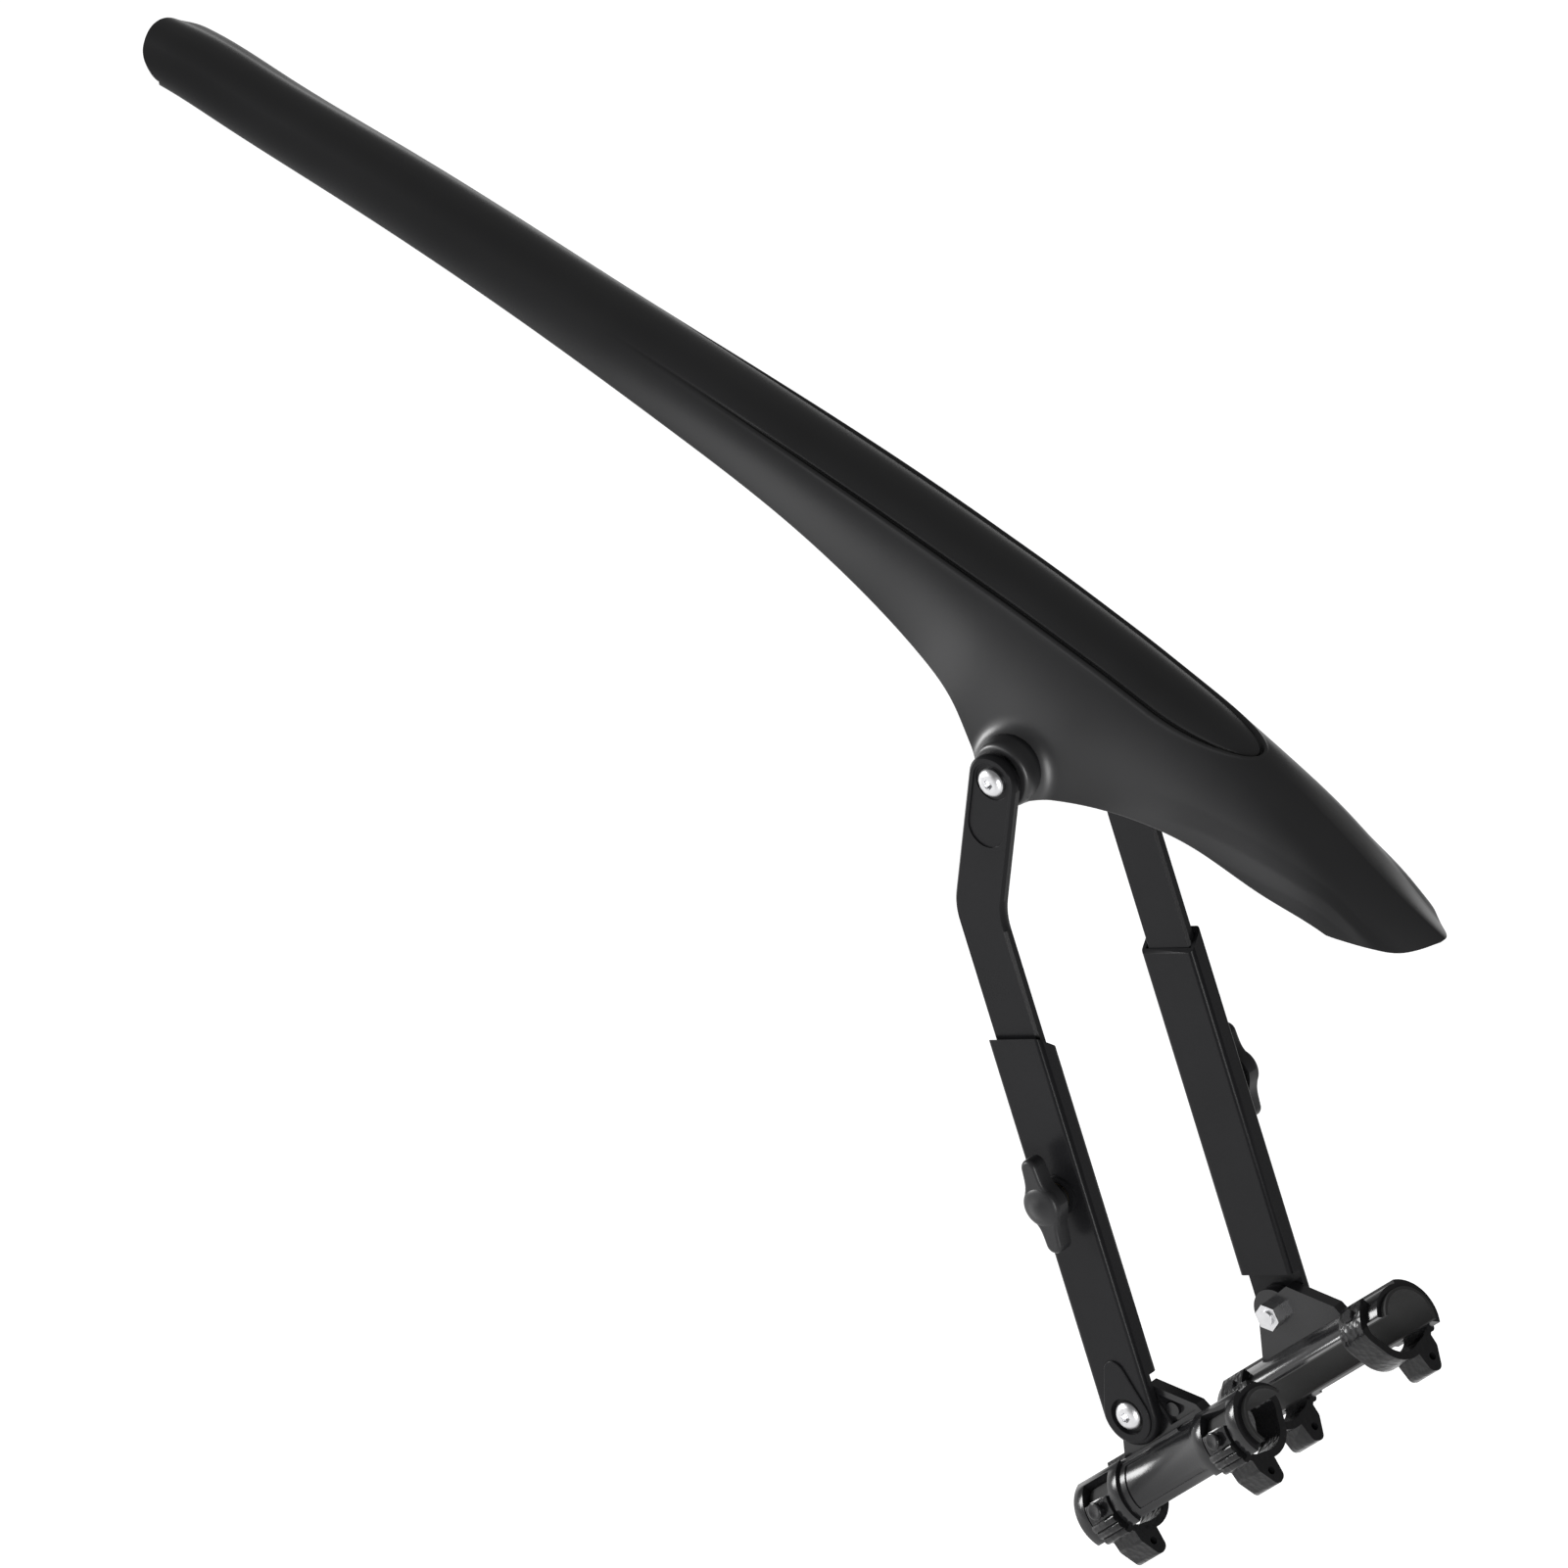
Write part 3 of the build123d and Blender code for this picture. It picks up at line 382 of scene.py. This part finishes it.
# plan outline: half ellipse at the tail, pointed at the nose
tailRest = np.clip(1 - ((along - blade["tailMiddle"]) / blade["tailRound"]) ** 2, 0, 1)
noseRest = np.clip(1 - ((along - blade["noseMiddle"]) / blade["noseRound"]) ** 2, 0, 1)
tailCut = blade["tailHalf"] * np.sqrt(tailRest)
noseCut = blade["noseHalf"] * noseRest ** blade["nosePower"]
planHalf = np.where(along > blade["noseMiddle"], noseCut, blade["uncut"])
planHalf = np.where(along < blade["tailMiddle"], tailCut, planHalf)
halfWidth = np.minimum(row[:, 3], planHalf)[:, None]
endShare = np.where(halfWidth < row[:, 3:4] - blade["leastCut"], shareAt(halfWidth, row), 1.0)

# the sunk panel ends in a half ellipse at the front; the lines across the panel close up at its seam
leaf = {
    "front": 28.0, "long": 38.0, "half": 12.9, "depth": 1.0, "wall": 0.75,
    "sideAt": np.array([-210.0, -150.0, -75.0, 28.0]), "sideHalf": np.array([[11.4], [12.3], [13.4], [12.9]]),
    "fadeFrom": -195.0, "fadeLong": 120.0,
    "groove": 0.8, "grooveAt": 0.75, "grooveWide": 0.45, "bead": 0.22, "beadAt": -0.5, "beadWide": 0.45,
    "seamAge": 0.86, "seamMargin": 1.3, "widthShare": 0.66, "openLines": 20, "seamLines": 25, "seamFrom": 0.8}
leafAge = np.clip((along - leaf["front"]) / leaf["long"], 0, leaf["seamAge"])[:, None]
panelReach = leaf["half"] * np.sqrt(1 - leafAge ** 2) + leaf["seamMargin"]
panelReach = np.minimum(panelReach, leaf["widthShare"] * halfWidth)
panelStep = np.concatenate([
    np.linspace(0, leaf["seamFrom"], leaf["openLines"]),
    np.linspace(leaf["seamFrom"], 1, leaf["seamLines"])[1:]])
panelShare = shareAt(panelReach * panelStep[None, :], row)
flankStep = 1 - (1 - np.linspace(0, 1, spacing["flankLines"] + 1)[None, 1:]) ** spacing["flankPower"]
flankShare = panelShare[:, -1:] + (endShare - panelShare[:, -1:]) * flankStep
share = np.concatenate([panelShare, flankShare], axis=1)
share[:, 0] = 0.0
across, tall = skin(share, row)


def outwardOf(across, tall):
    # unit normal of each half section: its step turned by a right angle
    stepY = np.gradient(across, axis=1)
    stepZ = np.gradient(tall, axis=1)
    stepZ[:, 0] = 0.0
    length = np.maximum(np.hypot(stepY, stepZ), 1e-9)
    return -stepZ / length, stepY / length


normalY, normalZ = outwardOf(across, tall)
alongGrid = along[:, None] + 0 * across
# distance inside the leaf-shaped outline of the panel, in plan
sideAlong = np.clip(along, leaf["sideAt"][0], leaf["sideAt"][-1])
sideHalf = splineThrough(leaf["sideAt"], leaf["sideHalf"], sideAlong)
leafX = (alongGrid - leaf["front"]) / leaf["long"]
leafY = across / leaf["half"]
leafRadius = np.maximum(np.hypot(leafX, leafY), 1e-6)
leafSlope = np.hypot(leafX / leaf["long"], leafY / leaf["half"]) / leafRadius
tipInside = (1 - leafRadius) / np.maximum(leafSlope, 1e-6)
inside = np.where(alongGrid > leaf["front"], tipInside, sideHalf - across)
fade = smooth((along - leaf["fadeFrom"]) / leaf["fadeLong"])[:, None]
panel = smooth(inside / leaf["wall"]) * fade
sink = leaf["depth"] * panel + leaf["groove"] * softLine(inside, leaf["grooveAt"], leaf["grooveWide"]) * fade
# crease of the nose: a line that climbs from the edge to the middle of the flank
crease = {
    "start": 33.0, "stop": 112.0, "low": 1.0, "high": 0.66, "rise": 0.55, "spread": 0.16,
    "soft": 0.004, "fadeIn": 3, "fadeStop": 146.0, "fadeLong": 30.0}
creaseAge = np.clip((along - crease["start"]) / (crease["stop"] - crease["start"]), 0, 1)[:, None]
creaseLine = crease["low"] + (crease["high"] - crease["low"]) * creaseAge
offLine = (share - creaseLine) / crease["spread"]
tent = np.clip(1 - np.sqrt(offLine ** 2 + crease["soft"]), 0, 1)
creaseEnd = smooth((crease["fadeStop"] - along) / crease["fadeLong"])[:, None]
lift = crease["rise"] * tent * smooth(creaseAge * crease["fadeIn"]) * creaseEnd
lift = lift + leaf["bead"] * softLine(inside, leaf["beadAt"], leaf["beadWide"]) * fade
outerY = across + normalY * (lift - sink)
outerZ = tall + normalZ * (lift - sink)
outerY[:, 0] = 0.0
# quarter-round fillet where the flanks meet the bosses; inside each boss it stays below the end face
boss = {
    "foot": 10.3, "fillet": 6.0, "filletTop": 34.9, "flankFrom": 15.0, "lines": 73, "endLean": 0.06,
    # distance from the middle of the blade, radius
    "profile": np.array([
        (28.4, 0.01), (28.4, 11.8), (31.0, 11.5), (33.0, 11.1), (34.4, 10.95),
        (35.1, 10.7), (35.6, 10.3), (35.9, 9.8), (36.0, 9.2), (36.0, 4.5)])}
fromFoot = np.clip(np.hypot(alongGrid, tall) - boss["foot"], 0, boss["fillet"])
fillet = boss["fillet"] - np.sqrt(boss["fillet"] ** 2 - (boss["fillet"] - fromFoot) ** 2)
filletTop = np.maximum(outerY, boss["filletTop"])
outerY = np.where(across > boss["flankFrom"], np.minimum(outerY + fillet, filletTop), outerY)
# inner skin: fewer lines across, one wall below the plain skin
thinning = smooth((along - blade["thinFrom"]) / blade["thinLong"])[:, None]
wall = (blade["lip"] - blade["wall"]) * thinning + blade["wall"]
innerShare = endShare * np.linspace(0, 1, spacing["innerLines"])[None, :]
innerY, innerZ = skin(innerShare, row)
innerNormalY, innerNormalZ = outwardOf(innerY, innerZ)
thin = np.minimum(wall, blade["wallShare"] * halfWidth)
innerY = innerY - innerNormalY * thin
innerZ = innerZ - innerNormalZ * thin
innerY[:, -1] = outerY[:, -1] - thin[:, 0] * np.maximum(normalY[:, -1], blade["edgeLean"])
innerZ[:, -1] = outerZ[:, -1]
innerY[:, 0] = 0.0


def bothSides(half, sign):
    # one half and its mirror image, the ridge line kept once
    return np.concatenate([sign * half[:, :0:-1], half], axis=1)


outerGrid = bladePoint(bothSides(alongGrid, 1), bothSides(-outerY, -1), bothSides(outerZ, 1))
innerAlong = along[:, None] + 0 * innerY
innerGrid = bladePoint(bothSides(innerAlong, 1), bothSides(-innerY, -1), bothSides(innerZ, 1))


def roundRim(outer, inner, beyond):
    # half-round rim between the two skins: half an ellipse round the middle of the wall
    turn = np.linspace(0, np.pi, blade["rimLines"])[None, :, None]
    middle = (outer + inner) / 2
    half = (outer - inner) / 2
    away = beyond / np.maximum(np.linalg.norm(beyond, axis=1, keepdims=True), 1e-9)
    away = away * np.linalg.norm(half, axis=1, keepdims=True) * blade["rimBulge"]
    return middle[:, None] + half[:, None] * np.cos(turn) + away[:, None] * np.sin(turn)


rimRight = roundRim(outerGrid[:, -1], innerGrid[:, -1], outerGrid[:, -1] - outerGrid[:, -2])
rimLeft = roundRim(outerGrid[:, 0], innerGrid[:, 0], outerGrid[:, 0] - outerGrid[:, 1])
# each boss is its profile turned about the pivot; the closed inner end leans with the flank
turn = np.linspace(0, 2 * np.pi, boss["lines"])
bossAlong = boss["profile"][:, 1:] * np.cos(turn)
bossTall = boss["profile"][:, 1:] * np.sin(turn)
bossAcross = boss["profile"][:, :1] + 0 * turn
bossAcross[:2] -= boss["endLean"] * bossTall[:2]
bossRight, bossLeft = (bladePoint(bossAlong, sign * bossAcross, bossTall) for sign in (-1, 1))
bladeGrids = [
    (outerGrid, False), (innerGrid, True), (rimRight, False), (rimLeft, True),
    (bossRight, False), (bossLeft, True)]
bladeSkin = makePiece("bladeSkin", bladeGrids, finishes["blade"], {"panel": bothSides(panel, 1)})
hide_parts("blade")
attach(bladeSkin, "blade")
print("blade:", len(bladeSkin.data.polygons), "faces")

# round heads on the outer pegs of the clamps; profile: distance from the clamp channel's axis, radius
peg = {
    "profile": np.array([
        (14.4, 1.9), (14.5, 2.6), (14.8, 2.85), (15.3, 2.85), (15.62, 2.6),
        (15.7, 2.2), (15.62, 1.7), (15.45, 1.2), (15.43, 0.01)]),
    "channelRise": 43.0, "angle": 78.0, "spread": 37.0, "places": (-27.0, 35.0)}
channelRise, pegAngle = np.radians(peg["channelRise"]), np.radians(peg["angle"])
channelAlong = np.array((np.cos(channelRise), 0, np.sin(channelRise)))
channelUp = np.array((-np.sin(channelRise), 0, np.cos(channelRise)))
pegHeads = []
for sign in (-1, 1):
    axis = np.array((0, sign * np.sin(pegAngle), 0)) + channelUp * np.cos(pegAngle)
    ring = np.cos(turn)[:, None] * channelAlong + np.sin(turn)[:, None] * np.cross(axis, channelAlong)
    head = peg["profile"][:, :1, None] * axis + peg["profile"][:, 1:, None] * ring[None]
    for place in peg["places"]:
        foot = channelAlong * place + np.array((0, sign * peg["spread"], 0))
        pegHeads.append(((head + foot) * millimetre, False))
pegCaps = makePiece("pegCaps", pegHeads, finishes["clamp"])
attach(pegCaps, "clamps")
print("peg heads:", len(pegHeads))

# small rounds on the sharp edges of the moulded pieces catch the light; widths in metres
rounds = {
    "width": {
        "clamp": 0.00030, "sleeve": 0.00060, "arm": 0.00030, "strap_front": 0.00025, "strap_rear": 0.00025},
    "weld": 0.000004, "segments": 2, "sharp": 50.0}
for name, node in nodes.items():
    if kindOf(name) in rounds["width"]:
        weld = node.modifiers.new("weld", "WELD")
        weld.merge_threshold = rounds["weld"]
        bevel = node.modifiers.new("bevel", "BEVEL")
        bevel.width = rounds["width"][kindOf(name)]
        bevel.segments = rounds["segments"]
        bevel.limit_method = "ANGLE"
        bevel.angle_limit = np.radians(rounds["sharp"])
print("edge rounds:", len(rounds["width"]), "kinds")

# pale floor well below the part, lit from within so that no shadow shows on it
studio = {
    "floorLevel": -0.34, "floorSize": 30.0, "floorRough": 0.9, "driftScale": 3.0, "driftDetail": 2.0,
    "paint": ((0.48, 0.48, 0.48, 1), (0.52, 0.52, 0.52, 1)), "glow": 0.94,
    "glowTone": ((0.86, 0.86, 0.86, 1), (0.90, 0.90, 0.90, 1)), "world": 0.26}
half = studio["floorSize"] / 2
floorGrid = np.array([[(-half, -half), (half, -half)], [(-half, half), (half, half)]])
floorGrid = np.concatenate([floorGrid, np.full((2, 2, 1), studio["floorLevel"])], axis=2)
floorPaint, floorShader, floorPlace = startMaterial("floorPaint")
floorDrift = noise(floorPlace, studio["driftScale"], studio["driftDetail"])
wireTo(floorShader, "Base Color", mixColour(floorDrift, *studio["paint"]))
wireTo(floorShader, "Emission Color", mixColour(floorDrift, *studio["glowTone"]))
floorShader.inputs["Emission Strength"].default_value = studio["glow"]
floorShader.inputs["Roughness"].default_value = studio["floorRough"]
floor = makePiece("floor", [(floorGrid, False)], floorPaint)

world = bpy.data.worlds.new("studio")
bpy.context.scene.world = world
world.use_nodes = True
world.node_tree.nodes["Background"].inputs["Color"].default_value = (1.0, 1.0, 1.0, 1)
world.node_tree.nodes["Background"].inputs["Strength"].default_value = studio["world"]
bpy.context.scene.view_settings.view_transform = "Standard"

# soft boxes: direction from the part, distance, width, height, power
lamps = {
    "sideBox": ((-0.64, -0.74, 0.20), 1.5, 1.0, 0.7, 4.5),
    "frontBox": ((0.64, -0.77, 0.07), 1.6, 0.3, 0.7, 15.0),
    "leftBox": ((-0.88, -0.45, 0.14), 1.5, 0.45, 0.6, 22.0)}
lampAim = Vector((-0.09, 0.0, 0.15))
for name, (direction, distance, width, height, power) in lamps.items():
    lamp = bpy.data.lights.new(name, "AREA")
    lamp.shape = "RECTANGLE"
    lamp.size = width
    lamp.size_y = height
    lamp.energy = power
    box = bpy.data.objects.new(name, lamp)
    box.location = lampAim + Vector(direction).normalized() * distance
    box.rotation_mode = "QUATERNION"
    box.rotation_quaternion = (lampAim - box.location).to_track_quat("-Z", "Y")
    bpy.context.scene.collection.objects.link(box)
print("studio: floor and", len(lamps), "lamps")

# camera on a long lens: the photo shows almost no perspective
cameraLook = {
    "azimuth": 36.7, "elevation": 30.8, "lens": 1200.0, "sensor": 36.0, "clip": 200.0,
    "fieldWidth": 0.4886, "right": -0.1455, "up": 0.1987, "depth": 0.045}
azimuth, elevation = np.radians(cameraLook["azimuth"]), np.radians(cameraLook["elevation"])
level = np.cos(elevation)
back = Vector((np.sin(azimuth) * level, -np.cos(azimuth) * level, np.sin(elevation)))
right = Vector((np.cos(azimuth), np.sin(azimuth), 0))
up = back.cross(right)
cameraData = bpy.data.cameras.new("camera")
cameraData.lens = cameraLook["lens"]
cameraData.sensor_width = cameraLook["sensor"]
cameraData.clip_end = cameraLook["clip"]
camera = bpy.data.objects.new("camera", cameraData)
bpy.context.scene.collection.objects.link(camera)
distance = cameraLook["fieldWidth"] * cameraLook["lens"] / cameraLook["sensor"]
aim = right * cameraLook["right"] + up * cameraLook["up"] + back * cameraLook["depth"]
camera.location = aim + back * distance
camera.rotation_mode = "QUATERNION"
camera.rotation_quaternion = (-back).to_track_quat("-Z", "Y")
bpy.context.scene.camera = camera
print("camera set")
